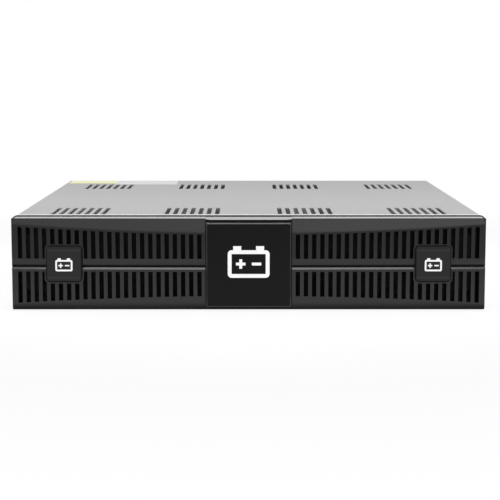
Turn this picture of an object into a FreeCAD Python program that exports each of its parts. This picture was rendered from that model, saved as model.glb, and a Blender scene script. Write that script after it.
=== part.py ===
import FreeCAD, Part
import math
import os
import Sketcher

# Battery module of an uninterruptible power supply, two rack units high.
# Millimetres, +Z up, the front faces -Y, and the floor under the chassis is Z = 0.

doc = FreeCAD.newDocument("BatteryModule")
sheet = doc.addObject("Spreadsheet::Sheet", "Sizes")

SIZES = {
    # casing
    "cover_width": 438,
    "chassis_height": 88,
    "chassis_depth": 423,
    "sheet": 1.2,
    "seam_gap": 0.2,
    "lip_height": 14,
    "front_flange": 12,
    "flange_width": 14,
    "bend_radius": 1.5,
    # cover slots
    "vent_width": 4.3,
    "vent_length": 63,
    "vent_pitch": 8,
    "vent_count": 7,
    "vent_radius": 1.5,
    "group_count": 4,
    "group_margin": 57,
    "vent_margin": 5.5,
    "vent_rear_margin": 60,
    # bezel
    "bezel_overhang": 2,
    "bezel_low": 0.5,
    "bezel_drop": 1.6,
    "bezel_depth": 27,
    "bezel_wall": 2.5,
    "top_rise": 0.5,
    "rim_depth": 2,
    "rim_drop": 0.45,
    "rim_bevel": 1.8,
    "rim_width": 5,
    "corner_radius": 2.5,
    "grille_back": 15,
    "visor_edge": 21,
    "visor_slope": 0.45,
    "visor_drop": 13,
    "visor_sag": 8,
    "visor_step": 1,
    "upper_lean": 1.75,
    "bar_flare": 0.4,
    "bar_height": 5.65,
    "groove_top": 0.1,
    "groove_depth": 4,
    "ledge_back": 2.35,
    "ledge_front": 4,
    "ledge_depth": 1.7,
    "band_edge": 19.4,
    "band_slope": 0.556,
    "band_radius": 30,
    "foot_radius": 4,
    "foot_size": 1.6,
    # grille slots
    "slot_first": 45.8,
    "slot_margin": 8,
    "slot_count": 23,
    "slot_width": 4.1,
    "slot_head_gap": 1.7,
    "slot_lower_head": 6.2,
    "slot_foot": 14.1,
    "slot_foot_sag": 7.4,
    # centre panel and badge caps
    "panel_margin": 3.5,
    "panel_gap": 1.1,
    "panel_floor": 17.5,
    "panel_bevel": 0.9,
    "panel_wall": 2.5,
    "finger_gap": 1.8,
    "finger_flare": 0.7,
    "finger_slant": 9,
    "finger_depth": 8.5,
    "lip_edge": 0.35,
    "leg_spacing": 40,
    "leg_width": 10,
    "leg_thick": 3,
    "leg_length": 8,
    "cap_size": 33,
    "cap_radius": 4,
    "cap_margin": 49.2,
    "cap_rise": 0.95,
    "cap_gap": 0.6,
    "cap_floor": 19,
    "cap_front": 26.2,
    "cap_field": 25.5,
    "cap_field_rise": 0.3,
    "cap_bevel": 0.8,
    "peg_radius": 5,
    "peg_length": 9,
    # bezel hooks
    "hook_inner": 80,
    "hook_margin": 75,
    "hook_width": 10,
    "hook_thick": 3,
    "hook_reach": 4.5,
    "hook_barb": 1.2,
    # batteries
    "head_room": 20.8,
    "bay_depth": 97,
    "channel_width": 22,
    "battery_cover": 10,
    "battery_step": 0.6,
    "battery_radius": 2.5,
    "tray_gap": 1.2,
    "tray_sheet": 1,
    "tray_rim": 25,
    "tray_setback": 15,
    "tray_play": 1,
    "pull_width": 60,
    "pull_height": 12,
    "divider_width": 4,
    "divider_height": 30,
    "bar_width": 26,
    "bar_foot": 12,
    "tab_width": 6.4,
    "tab_thick": 0.8,
    "tab_length": 6.2,
    "tab_inset": 20,
    "tab_drop": 16,
    "sleeve_length": 10,
    "sleeve_thick": 6,
    "sleeve_depth": 8,
    "sleeve_gap": 0.4,
    "wire_radius": 2,
    "wire_bend": 7,
    # wiring bay
    "partition_gap": 4,
    "partition_rise": 4,
    "partition_foot": 15,
    "window_width": 40,
    "window_height": 22,
    "fuse_span": 80,
    "fuse_base": 6,
    "fuse_post": 8,
    "fuse_depth": 14,
    "fuse_height": 24,
    "fuse_radius": 5.5,
    # rear panel
    "connector_proud": 8,
    "connector_spacing": 120,
    "connector_width": 36,
    "connector_height": 18,
    "connector_inside": 22,
    "connector_wall": 2.5,
    "connector_flange": 2.5,
    "connector_ear": 9,
    "socket_depth": 22,
    "contact_spacing": 16,
    "contact_thick": 1.6,
    "contact_height": 8,
    "tail_length": 12,
    "tail_high": 4,
    "tail_low": 14,
    "stud_margin": 66.4,
    "stud_height": 26,
    "stud_radius": 2.5,
    "stud_head": 5,
    "stud_head_thick": 2,
    "nut_across": 8,
    "nut_thick": 4,
    "rear_vent_count": 9,
    "rear_vent_length": 34,
    "rear_vent_start": 105,
    # fasteners
    "screw_radius": 1.5,
    "screw_head": 2.9,
    "screw_head_thick": 1,
    "screw_grip": 4,
    "screw_play": 0.2,
    "cover_screw_drop": 9,
    "cover_screw_margin": 60,
    "flange_screw_low": 14,
    "flange_screw_drop": 16,
    # rack ear holes in the side walls
    "ear_hole_radius": 2.2,
    "ear_hole_margin": 24,
    "ear_hole_run": 40,
    "ear_hole_rise": 44,
}
for row, (alias, value) in enumerate(SIZES.items(), 1):
    sheet.set("A%d" % row, alias)
    sheet.set("B%d" % row, str(value))
    sheet.setAlias("B%d" % row, alias)
doc.recompute()


class Size:
    """A length kept as an expression over the sheet, so that what is bound to it follows the sheet."""

    def __init__(self, text):
        self.text = str(text)

    def __str__(self):
        return self.text

    def __float__(self):
        return float(sheet.evalExpression(self.text))

    def __add__(self, other):
        return Size("(%s + %s)" % (self, other))

    def __radd__(self, other):
        return Size("(%s + %s)" % (other, self))

    def __sub__(self, other):
        return Size("(%s - %s)" % (self, other))

    def __rsub__(self, other):
        return Size("(%s - %s)" % (other, self))

    def __mul__(self, other):
        return Size("(%s * %s)" % (self, other))

    def __rmul__(self, other):
        return Size("(%s * %s)" % (other, self))

    def __truediv__(self, other):
        return Size("(%s / %s)" % (self, other))

    def __neg__(self):
        return Size("(-%s)" % self)

    def root(self):
        return Size("sqrt(%s)" % self)


class Sizes:
    """Reads a cell of the sheet by its alias."""

    def __getattr__(self, alias):
        if alias not in SIZES:
            raise AttributeError(alias)
        return Size("Sizes." + alias)


S = Sizes()
ZERO = Size("0")
PAST = 5  # how far a cutting outline reaches past the solid

# Shared places
front = (S.bezel_depth - S.chassis_depth - S.connector_proud) / 2
rear = front + S.chassis_depth
wall_out = S.cover_width / 2 - S.sheet - S.seam_gap
wall_in = wall_out - S.sheet
cover_under = S.chassis_height - S.sheet
floor_top = S.sheet
group_pitch = (S.cover_width - 2 * S.group_margin) / (S.group_count - 1)
bezel_top = S.chassis_height - S.bezel_drop
crown_top = bezel_top + S.top_rise
bezel_mid = (S.bezel_low + bezel_top) / 2
bezel_half = S.cover_width / 2 + S.bezel_overhang
slot_pitch = (bezel_half - S.slot_first - S.slot_margin) / (S.slot_count - 1)
cap_middle = bezel_half - S.cap_margin
cap_level = bezel_mid + S.cap_rise
hook_middles = (S.hook_inner, bezel_half - S.hook_margin)
visor_low = bezel_top - S.visor_drop
visor_radius = (bezel_half * bezel_half + S.visor_sag * S.visor_sag) / (2 * S.visor_sag)
bulge_radius = visor_radius / S.visor_slope
bulge_axis = front - S.bezel_depth + bulge_radius
panel_half = bezel_mid - S.bezel_low - S.panel_margin
panel_top = bezel_mid + panel_half
panel_low = bezel_mid - panel_half
tray_width = wall_in - S.divider_width / 2 - 2 * S.tray_gap
tray_middle = S.divider_width / 2 + S.tray_gap + tray_width / 2
tray_front = front + S.tray_setback
tray_depth = S.chassis_depth - S.tray_setback - S.partition_gap - S.bay_depth
tray_floor = floor_top + S.tray_sheet
battery_length = (tray_depth - 2 * S.tray_sheet - 3 * S.tray_play) / 2
battery_height = (tray_width - 2 * S.tray_sheet - S.channel_width) / 2
battery_top = S.chassis_height - S.head_room
battery_thick = battery_top - tray_floor
partition = tray_front + tray_depth + S.partition_gap
tab_level = battery_top - S.tab_drop
flange_screw_x = wall_in - S.flange_width / 2
flange_screw_run = S.chassis_height - S.flange_screw_low - S.flange_screw_drop
stud_x = wall_in - S.stud_margin
fuse_level = partition + S.sheet + S.fuse_base + S.fuse_depth / 2
tail_end = rear - S.connector_inside - S.tail_length


def ahead(distance):
    """Y of a place that lies a distance in front of the chassis."""
    return front - distance


# Drawing helpers


def new_body(label):
    body = doc.addObject("PartDesign::Body", label)
    body.Label = label
    return body


def origin(body, role):
    return next(item for item in body.Origin.OriginFeatures if item.Role == role)


def new_sketch(body, name, plane, level=ZERO, shift=ZERO):
    """A sketch on an origin plane, moved along the plane's normal by level and along its X by shift."""
    sketch = body.newObject("Sketcher::SketchObject", name)
    sketch.AttachmentSupport = (origin(body, plane), [""])
    sketch.MapMode = "FlatFace"
    sketch.setExpression("AttachmentOffset.Base.z", str(level))
    sketch.setExpression("AttachmentOffset.Base.x", str(shift))
    return sketch


def top_sketch(body, name, z=ZERO):
    return new_sketch(body, name, "XY_Plane", z)


def front_sketch(body, name, y=ZERO):
    return new_sketch(body, name, "XZ_Plane", -y)


def side_sketch(body, name, x=ZERO, shift=ZERO):
    return new_sketch(body, name, "YZ_Plane", x, shift)


def middle_of_arc(start, end, radius):
    """A point on the arc to the left of the way from start to end, or to the right for a negative radius."""
    chord = end - start
    rise = abs(radius) - math.sqrt(radius * radius - chord.Length ** 2 / 4)
    across = FreeCAD.Vector(-chord.y, chord.x, 0).normalize()
    return (start + end) / 2 + across * math.copysign(rise, radius)


def outline(sketch, corners):
    """A closed outline. A corner is (x, y), or (x, y, radius, turn) where an arc leads to the next corner."""
    points = [FreeCAD.Vector(float(corner[0]), float(corner[1]), 0) for corner in corners]
    edges = []
    links = []
    for index, corner in enumerate(corners):
        start = points[index]
        end = points[(index + 1) % len(points)]
        if len(corner) == 2:
            edge = sketch.addGeometry(Part.LineSegment(start, end), False)
            edges.append((edge, 1, 2))
            continue
        bend = middle_of_arc(start, end, float(corner[2]) * corner[3])
        if corner[3] > 0:
            edge = sketch.addGeometry(Part.Arc(end, bend, start), False)
            edges.append((edge, 2, 1))
        else:
            edge = sketch.addGeometry(Part.Arc(start, bend, end), False)
            edges.append((edge, 1, 2))
    for index, (edge, first, last) in enumerate(edges):
        following, head, _ = edges[(index + 1) % len(edges)]
        sketch.addConstraint(Sketcher.Constraint("Coincident", edge, last, following, head))
        place = points[index]
        links.append(("DistanceX", edge, first, place.x, corners[index][0]))
        links.append(("DistanceY", edge, first, place.y, corners[index][1]))
    for kind, edge, end, amount, size in links:
        bind(sketch, Sketcher.Constraint(kind, -1, 1, edge, end, amount), size)
    for (edge, _, _), corner in zip(edges, corners):
        if len(corner) > 2:
            bind(sketch, Sketcher.Constraint("Radius", edge, float(corner[2])), corner[2])


def bind(sketch, constraint, size):
    index = sketch.addConstraint(constraint)
    sketch.setExpression("Constraints[%d]" % index, str(size))


def rectangle(sketch, left, right, low, high):
    outline(sketch, [(left, low), (right, low), (right, high), (left, high)])


def rounded(sketch, left, right, low, high, radius):
    """A rectangle with round corners."""
    outline(sketch, [
        (left + radius, low),
        (right - radius, low, radius, -1),
        (right, low + radius),
        (right, high - radius, radius, -1),
        (right - radius, high),
        (left + radius, high, radius, -1),
        (left, high - radius),
        (left, low + radius, radius, -1),
    ])


def circle(sketch, x, y, radius):
    centre = FreeCAD.Vector(float(x), float(y), 0)
    edge = sketch.addGeometry(Part.Circle(centre, FreeCAD.Vector(0, 0, 1), float(radius)), False)
    bind(sketch, Sketcher.Constraint("DistanceX", -1, 1, edge, 3, centre.x), x)
    bind(sketch, Sketcher.Constraint("DistanceY", -1, 1, edge, 3, centre.y), y)
    bind(sketch, Sketcher.Constraint("Radius", edge, float(radius)), radius)


def pad(body, sketch, length, reverse=False, both=False):
    """Adds the sketch's outline, along its normal, against it or half of the length to each side."""
    feature = body.newObject("PartDesign::Pad", sketch.Name + "_pad")
    feature.Profile = sketch
    feature.setExpression("Length", str(length))
    feature.Reversed = reverse
    if both:
        feature.SideType = "Symmetric"
    sketch.Visibility = False
    doc.recompute()
    return feature


def pocket(body, sketch, length=None, forward=False):
    """Cuts the sketch's outline through everything, or a length against its normal or along it."""
    before = body.Shape.Volume
    feature = body.newObject("PartDesign::Pocket", sketch.Name + "_pocket")
    feature.Profile = sketch
    if length is None:
        feature.Type = "ThroughAll"
        feature.SideType = "Symmetric"
    else:
        feature.setExpression("Length", str(length))
        feature.Reversed = forward
    sketch.Visibility = False
    doc.recompute()
    if body.Shape.Volume >= before:
        raise RuntimeError("%s cuts nothing" % feature.Label)
    return feature


def repeat(body, features, *steps):
    """Repeats features. A step is (axis, length, count) for a row or the role of a mirror plane."""
    originals = features if isinstance(features, list) else [features]
    name = originals[0].Name
    many = body.newObject("PartDesign::MultiTransform", name + "_many")
    many.Originals = originals
    moves = []
    for step in steps:
        if isinstance(step, str):
            move = body.newObject("PartDesign::Mirrored", name + "_mirror")
            move.MirrorPlane = (origin(body, step), [""])
        else:
            move = body.newObject("PartDesign::LinearPattern", name + "_row")
            move.Direction = (origin(body, step[0]), [""])
            move.setExpression("Length", str(step[1]))
            move.setExpression("Occurrences", str(step[2]))
        moves.append(move)
    many.Transformations = moves
    body.Tip = many
    doc.recompute()
    return many


def soften(body, kind, name, size, chosen):
    """A Fillet or a Chamfer on the edges of the body's last feature that are chosen."""
    base = body.Tip
    names = ["Edge%d" % index for index, edge in enumerate(base.Shape.Edges, 1) if chosen(edge)]
    feature = body.newObject("PartDesign::" + kind, name)
    feature.Base = (base, names)
    feature.setExpression("Radius" if kind == "Fillet" else "Size", str(size))
    doc.recompute()
    return feature


def lies(edge, axis, place):
    """True for an edge that keeps to one place along an axis."""
    low = getattr(edge.BoundBox, axis + "Min")
    high = getattr(edge.BoundBox, axis + "Max")
    return abs(low - float(place)) < 0.01 and abs(high - float(place)) < 0.01


def upright(edge):
    return lies(edge, "X", edge.BoundBox.XMin) and lies(edge, "Y", edge.BoundBox.YMin)


def block(label, left, right, y_front, y_rear, low, high):
    """A plain box between six places."""
    box = doc.addObject("Part::Box", label)
    box.Label = label
    box.setExpression("Length", str(right - left))
    box.setExpression("Width", str(y_rear - y_front))
    box.setExpression("Height", str(high - low))
    box.setExpression("Placement.Base.x", str(left))
    box.setExpression("Placement.Base.y", str(y_front))
    box.setExpression("Placement.Base.z", str(low))
    return box


def group(label, members):
    """Equal pieces kept as separate solids of one sub-part."""
    whole = doc.addObject("Part::Compound", label)
    whole.Label = label
    whole.Links = members
    doc.recompute()
    return whole


# Casing


def base_chassis():
    """Folded floor and side walls, with flanges for the front plate and the rear panel."""
    body = new_body("base_chassis")
    length = S.chassis_depth - 2 * S.sheet
    section = front_sketch(body, "channel_section", rear - S.sheet)
    outline(section, [
        (-wall_out, ZERO), (wall_out, ZERO), (wall_out, cover_under), (wall_in, cover_under),
        (wall_in, floor_top), (-wall_in, floor_top), (-wall_in, cover_under), (-wall_out, cover_under),
    ])
    pad(body, section, length)

    def bent(edge):
        return lies(edge, "Z", 0) and (lies(edge, "X", wall_out) or lies(edge, "X", -wall_out))

    soften(body, "Fillet", "floor_bends", S.bend_radius, bent)
    for name, place in (("front_flange", front + 2 * S.sheet), ("rear_flange", rear - S.sheet)):
        flange = front_sketch(body, name, place)
        rectangle(flange, wall_in - S.flange_width, wall_in, floor_top, cover_under - S.front_flange)
        repeat(body, pad(body, flange, S.sheet), "YZ_Plane")
    holes = front_sketch(body, "flange_holes")
    circle(holes, flange_screw_x, S.flange_screw_low, S.screw_radius)
    repeat(body, pocket(body, holes), ("Z_Axis", flange_screw_run, 3), "YZ_Plane")
    cover_holes = side_sketch(body, "cover_holes")
    circle(cover_holes, front + S.cover_screw_margin, S.chassis_height - S.cover_screw_drop, S.screw_radius)
    repeat(body, pocket(body, cover_holes),
           ("Y_Axis", S.chassis_depth - 2 * S.cover_screw_margin, 3))
    ear_holes = side_sketch(body, "ear_holes")
    circle(ear_holes, front + S.ear_hole_margin, (S.chassis_height - S.ear_hole_rise) / 2,
           S.ear_hole_radius)
    repeat(body, pocket(body, ear_holes), ("Y_Axis", S.ear_hole_run, 2), ("Z_Axis", S.ear_hole_rise, 2))
    return body


def top_cover():
    """Lid with a skirt at the front and the sides and its groups of vent slots."""
    body = new_body("top_cover")
    half = S.cover_width / 2
    plate = top_sketch(body, "lid_plate", cover_under)
    rectangle(plate, -half, half, front, rear)
    pad(body, plate, S.sheet)
    lips = top_sketch(body, "side_lip", S.chassis_height - S.lip_height)
    rectangle(lips, half - S.sheet, half, front, rear)
    repeat(body, pad(body, lips, S.lip_height - S.sheet), "YZ_Plane")
    flange = top_sketch(body, "front_skirt", S.chassis_height - S.front_flange)
    rectangle(flange, -half, half, front, front + S.sheet)
    pad(body, flange, S.front_flange - S.sheet)

    def bent(edge):
        at_side = lies(edge, "X", half) or lies(edge, "X", -half)
        at_front = lies(edge, "Y", front)
        at_top = lies(edge, "Z", S.chassis_height) and (at_side or at_front)
        return at_top or (at_side and at_front and upright(edge))

    soften(body, "Fillet", "lid_bends", S.bend_radius, bent)
    slot = top_sketch(body, "vent_slot", cover_under)
    first = -(group_pitch * (S.group_count - 1) + S.vent_pitch * (S.vent_count - 1)) / 2
    rounded(slot, first - S.vent_width / 2, first + S.vent_width / 2,
            front + S.vent_margin, front + S.vent_margin + S.vent_length, S.vent_radius)
    repeat(body, pocket(body, slot),
           ("X_Axis", S.vent_pitch * (S.vent_count - 1), S.vent_count),
           ("X_Axis", group_pitch * (S.group_count - 1), S.group_count),
           ("Y_Axis", S.chassis_depth - S.vent_margin - S.vent_length - S.vent_rear_margin, 2))
    holes = side_sketch(body, "lip_holes")
    circle(holes, front + S.cover_screw_margin, S.chassis_height - S.cover_screw_drop,
           S.screw_radius + S.screw_play)
    repeat(body, pocket(body, holes), ("Y_Axis", S.chassis_depth - 2 * S.cover_screw_margin, 3))
    return body


def rear_panel():
    """Rear wall with its vents and the openings of the connectors and the earth stud."""
    body = new_body("rear_panel")
    plate = front_sketch(body, "rear_plate", rear)
    rectangle(plate, -wall_out, wall_out, ZERO, cover_under)
    pad(body, plate, S.sheet)
    opening = front_sketch(body, "connector_opening")
    middle = S.connector_spacing / 2
    rectangle(opening, middle - S.connector_width / 2, middle + S.connector_width / 2,
              tab_level - S.connector_height / 2, tab_level + S.connector_height / 2)
    repeat(body, pocket(body, opening), "YZ_Plane")
    ears = front_sketch(body, "connector_screw_holes")
    reach = S.connector_width / 2 + S.connector_ear / 2
    circle(ears, middle - reach, tab_level, S.screw_radius)
    repeat(body, pocket(body, ears), ("X_Axis", 2 * reach, 2), "YZ_Plane")
    stud = front_sketch(body, "stud_hole")
    circle(stud, stud_x, S.stud_height, S.stud_radius)
    pocket(body, stud)
    holes = front_sketch(body, "rear_screw_holes")
    circle(holes, flange_screw_x, S.flange_screw_low, S.screw_radius)
    repeat(body, pocket(body, holes), ("Z_Axis", flange_screw_run, 3), "YZ_Plane")
    vents = front_sketch(body, "rear_vent")
    rectangle(vents, S.rear_vent_start, S.rear_vent_start + S.vent_width,
              tab_level - S.rear_vent_length / 4, tab_level + S.rear_vent_length * 3 / 4)
    repeat(body, pocket(body, vents),
           ("X_Axis", S.vent_pitch * (S.rear_vent_count - 1), S.rear_vent_count), "YZ_Plane")
    return body


def front_plate():
    """Plate behind the grille, with slots for the bezel's hooks."""
    body = new_body("front_plate")
    plate = front_sketch(body, "plate_face", front + S.sheet)
    half = wall_in - S.seam_gap
    rectangle(plate, -half, half, floor_top + S.seam_gap, S.chassis_height - S.front_flange - S.seam_gap)
    pad(body, plate, S.sheet)
    slots = front_sketch(body, "hook_slots")
    for middle in hook_middles:
        rectangle(slots, middle - S.hook_width / 2 - S.seam_gap, middle + S.hook_width / 2 + S.seam_gap,
                  hook_low() - S.seam_gap, hook_low() + S.hook_thick + S.hook_barb + S.seam_gap)
    repeat(body, pocket(body, slots), "YZ_Plane")
    holes = front_sketch(body, "plate_screw_holes")
    circle(holes, flange_screw_x, S.flange_screw_low, S.screw_radius)
    repeat(body, pocket(body, holes), ("Z_Axis", flange_screw_run, 3), "YZ_Plane")
    return body


# Bezel


def hook_low():
    """Height of the hooks, which grow from the bar between the upper and the lower slots."""
    return bezel_mid + S.groove_top


def arc_height(x, lowest, radius):
    """Height at x of an arc that is lowest in the middle."""
    return lowest + radius - (radius * radius - x * x).root()


def bulged(distance):
    """X, in a sketch on the bulge's axis, of a place that lies a distance ahead of the chassis."""
    return S.bezel_depth - distance - bulge_radius


def bezel_body():
    """The moulding without its grille slots."""
    body = new_body("bezel_moulding")
    beyond = S.bezel_depth + PAST

    visor = top_sketch(body, "visor_block", visor_low - PAST)
    wide = bezel_half + PAST
    rectangle(visor, -wide, wide, ahead(beyond), front + PAST)
    pad(body, visor, S.visor_drop + PAST)
    brow = front_sketch(body, "visor_curve")
    wider = wide + PAST
    end = arc_height(wider, visor_low, visor_radius)
    low = visor_low - 2 * PAST
    outline(brow, [(wider, low), (wider, end, visor_radius, 1), (-wider, end), (-wider, low)])
    pocket(body, brow)

    lip = S.visor_edge + S.visor_slope * S.visor_drop
    upper = lip - S.visor_step
    crease = upper - S.upper_lean
    bar = bezel_mid + S.bar_height
    skin = side_sketch(body, "grille_skin", shift=bulge_axis)
    outline(skin, [
        (bulged(-S.visor_sag), S.bezel_low),
        (bulged(S.bezel_depth), S.bezel_low),
        (bulged(S.bezel_depth), bezel_mid - S.ledge_front),
        (bulged(S.bezel_depth - S.ledge_depth), bezel_mid - S.ledge_back),
        (bulged(S.bezel_depth - S.groove_depth), bezel_mid - S.ledge_back),
        (bulged(crease + S.bar_flare), bezel_mid + S.groove_top),
        (bulged(crease), bar - S.bar_height / 2),
        (bulged(upper), visor_low),
        (bulged(upper), bezel_top),
        (bulged(-S.visor_sag), bezel_top),
    ])
    bulge = body.newObject("PartDesign::Revolution", "grille_bulge")
    bulge.Profile = skin
    bulge.ReferenceAxis = (skin, ["V_Axis"])
    bulge.setExpression("Angle", "2.2 * asin(%s)" % (bezel_half / bulge_radius))
    bulge.Midplane = True
    skin.Visibility = False
    doc.recompute()

    bands = side_sketch(body, "band_slopes")
    fall = 2 * S.visor_drop
    outline(bands, [
        (ahead(S.visor_edge + S.visor_slope * fall), bezel_top - fall),
        (ahead(S.visor_edge - S.visor_slope * PAST), bezel_top + PAST),
        (ahead(2 * beyond), bezel_top + PAST),
        (ahead(2 * beyond), bezel_top - fall),
    ])
    rise = S.bezel_depth / 2
    outline(bands, [
        (ahead(S.band_edge + S.band_slope * rise), S.bezel_low + rise),
        (ahead(2 * beyond), S.bezel_low + rise),
        (ahead(2 * beyond), S.bezel_low - PAST),
        (ahead(S.band_edge - S.foot_size), S.bezel_low - PAST),
        (ahead(S.band_edge - S.foot_size), S.bezel_low, S.foot_radius, 1),
        (ahead(S.band_edge + S.band_slope * S.foot_size), S.bezel_low + S.foot_size, S.band_radius, 1),
    ])
    pocket(body, bands)

    trim = top_sketch(body, "side_trim")
    round_from = ahead(S.bezel_depth - S.visor_slope * S.visor_sag - S.corner_radius)
    inner = bezel_half - S.corner_radius
    outline(trim, [
        (bezel_half, front + beyond),
        (bezel_half, round_from, S.corner_radius, 1),
        (inner, round_from - S.corner_radius),
        (inner, ahead(2 * beyond)),
        (2 * bezel_half, ahead(2 * beyond)),
        (2 * bezel_half, front + beyond),
    ])
    repeat(body, pocket(body, trim, S.chassis_height, forward=True), "YZ_Plane")
    back = top_sketch(body, "rear_trim")
    rectangle(back, -2 * bezel_half, 2 * bezel_half, front, front + beyond)
    pocket(body, back, S.chassis_height, forward=True)

    crown = side_sketch(body, "top_slope")
    outline(crown, [
        (front, bezel_top),
        (ahead(S.visor_edge), bezel_top),
        (ahead(S.rim_depth), crown_top),
        (front, crown_top),
    ])
    pad(body, crown, 2 * bezel_half, both=True)
    rim = front_sketch(body, "top_rim", front)
    tip = bezel_half - S.rim_bevel
    rim_top = S.chassis_height - S.rim_drop
    outline(rim, [(-bezel_half, crown_top), (bezel_half, crown_top), (tip, rim_top), (-tip, rim_top)])
    pad(body, rim, S.rim_depth)
    hollow = front_sketch(body, "hollow", front)
    side = bezel_half - S.rim_width
    rectangle(hollow, -side, side, S.bezel_low + S.rim_width, bezel_top - S.rim_width)
    pocket(body, hollow, S.grille_back, forward=True)
    panel_pocket(body)
    cap_seats(body)
    bezel_hooks(body)
    return body


def panel_pocket(body):
    """Recess of the centre panel, with a finger gap that reaches back under a thin sloping lip."""
    half = panel_half + S.panel_gap
    lip = panel_top + S.finger_gap
    slant = half - S.finger_slant
    gap_top = [(half, lip + S.finger_flare), (slant, lip), (-slant, lip), (-half, lip + S.finger_flare)]
    recess = front_sketch(body, "panel_recess", ahead(S.panel_floor))
    outline(recess, [(-half, panel_low - S.panel_gap), (half, panel_low - S.panel_gap)] + gap_top)
    pocket(body, recess, S.bezel_depth, forward=True)
    fingers = front_sketch(body, "finger_pocket", ahead(S.panel_floor - S.finger_depth))
    outline(fingers, [(-half, panel_top), (half, panel_top)] + gap_top)
    pocket(body, fingers, S.finger_depth, forward=True)
    slope = side_sketch(body, "lip_slope", -half)
    outline(slope, [
        (ahead(S.rim_depth), crown_top),
        (ahead(S.panel_floor), lip + S.lip_edge),
        (ahead(S.panel_floor), lip),
        (ahead(S.bezel_depth), lip),
        (ahead(S.bezel_depth), S.chassis_height),
        (ahead(S.rim_depth), S.chassis_height),
    ])
    pocket(body, slope, 2 * half, forward=True)
    legs = front_sketch(body, "leg_slots", ahead(S.grille_back))
    middle = S.leg_spacing / 2
    rectangle(legs, middle - S.leg_width / 2 - S.seam_gap, middle + S.leg_width / 2 + S.seam_gap,
              bezel_mid - S.leg_thick / 2 - S.seam_gap, bezel_mid + S.leg_thick / 2 + S.seam_gap)
    repeat(body, pocket(body, legs, S.bezel_depth, forward=True), "YZ_Plane")


def cap_seats(body):
    """Square recesses of the badge caps, each with a hole for the cap's peg."""
    half = S.cap_size / 2 + S.cap_gap
    seats = front_sketch(body, "cap_seat", ahead(S.cap_floor))
    rounded(seats, cap_middle - half, cap_middle + half, cap_level - half, cap_level + half,
            S.cap_radius + S.cap_gap)
    repeat(body, pocket(body, seats, S.bezel_depth, forward=True), "YZ_Plane")
    pegs = front_sketch(body, "peg_hole", front)
    circle(pegs, cap_middle, cap_level, S.peg_radius)
    repeat(body, pocket(body, pegs, S.bezel_depth, forward=True), "YZ_Plane")


def bezel_hooks(body):
    """Hooks on the bar behind the grille that snap through the front plate."""
    arms = front_sketch(body, "hook_arms", front + S.hook_reach)
    barbs = front_sketch(body, "hook_barbs", front + S.hook_reach)
    for middle in hook_middles:
        left = middle - S.hook_width / 2
        right = middle + S.hook_width / 2
        rectangle(arms, left, right, hook_low(), hook_low() + S.hook_thick)
        rectangle(barbs, left, right, hook_low() + S.hook_thick, hook_low() + S.hook_thick + S.hook_barb)
    repeat(body, pad(body, arms, S.hook_reach + S.grille_back + S.bezel_wall), "YZ_Plane")
    repeat(body, pad(body, barbs, S.hook_reach - S.sheet - S.seam_gap), "YZ_Plane")


def slot_cutter():
    """The air of all grille slots: two windows on each side with the ribs and the caps' borders taken out."""
    body = new_body("slot_cutter")
    left = S.slot_first - S.slot_width / 2
    right = S.slot_first + slot_pitch * (S.slot_count - 1) + S.slot_width / 2
    windows = front_sketch(body, "slot_windows", ahead(S.grille_back - S.bezel_wall))
    head = visor_low - S.slot_head_gap
    foot = S.bezel_low + S.slot_foot
    foot_radius = (bezel_half * bezel_half + S.slot_foot_sag * S.slot_foot_sag) / (2 * S.slot_foot_sag)
    bar = bezel_mid + S.bar_height
    ledge = bezel_mid - S.slot_lower_head
    outline(windows, [
        (left, bar), (right, bar),
        (right, arc_height(right, head, visor_radius), visor_radius, 1),
        (left, arc_height(left, head, visor_radius)),
    ])
    outline(windows, [
        (right, ledge), (left, ledge),
        (left, 2 * foot - arc_height(left, foot, foot_radius), foot_radius, 1),
        (right, 2 * foot - arc_height(right, foot, foot_radius)),
    ])
    pad(body, windows, S.bezel_depth)
    rib = front_sketch(body, "rib")
    start = left + S.slot_width
    rectangle(rib, start, start + slot_pitch - S.slot_width, ZERO, S.chassis_height)
    ribs = S.slot_count - 1
    repeat(body, pocket(body, rib), ("X_Axis", slot_pitch * (ribs - 1), ribs))
    border = front_sketch(body, "cap_border")
    half = S.cap_size / 2 + 3 * S.cap_gap
    rounded(border, cap_middle - half, cap_middle + half, cap_level - half, cap_level + half,
            S.cap_radius + S.cap_gap)
    pocket(body, border)
    return body


def front_bezel():
    moulding = bezel_body()
    cutter = slot_cutter()
    mirrored = doc.addObject("Part::Mirroring", "slot_cutter_left")
    mirrored.Source = cutter
    mirrored.Normal = FreeCAD.Vector(1, 0, 0)
    slots = group("slot_cutters", [cutter, mirrored])
    bezel = doc.addObject("Part::Cut", "front_bezel")
    bezel.Label = "front_bezel"
    bezel.Base = moulding
    bezel.Tool = slots
    doc.recompute()
    return bezel


def centre_panel():
    """Square panel that snaps into the bezel with two legs, hollow behind."""
    body = new_body("centre_panel")
    face = front_sketch(body, "panel_face", ahead(S.panel_floor))
    rectangle(face, -panel_half, panel_half, panel_low, panel_top)
    thick = S.bezel_depth - S.panel_floor
    pad(body, face, thick)
    soften(body, "Chamfer", "panel_edge", S.panel_bevel, lambda edge: lies(edge, "Y", ahead(S.bezel_depth)))
    hollow = front_sketch(body, "panel_hollow", ahead(S.panel_floor))
    inner = panel_half - S.panel_wall
    rectangle(hollow, -inner, inner, bezel_mid - inner, bezel_mid + inner)
    pocket(body, hollow, thick - S.panel_wall, forward=True)
    legs = front_sketch(body, "panel_leg", ahead(S.panel_floor - S.leg_length))
    middle = S.leg_spacing / 2
    rectangle(legs, middle - S.leg_width / 2, middle + S.leg_width / 2,
              bezel_mid - S.leg_thick / 2, bezel_mid + S.leg_thick / 2)
    repeat(body, pad(body, legs, S.leg_length + thick - S.panel_wall), "YZ_Plane")
    return body


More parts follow.
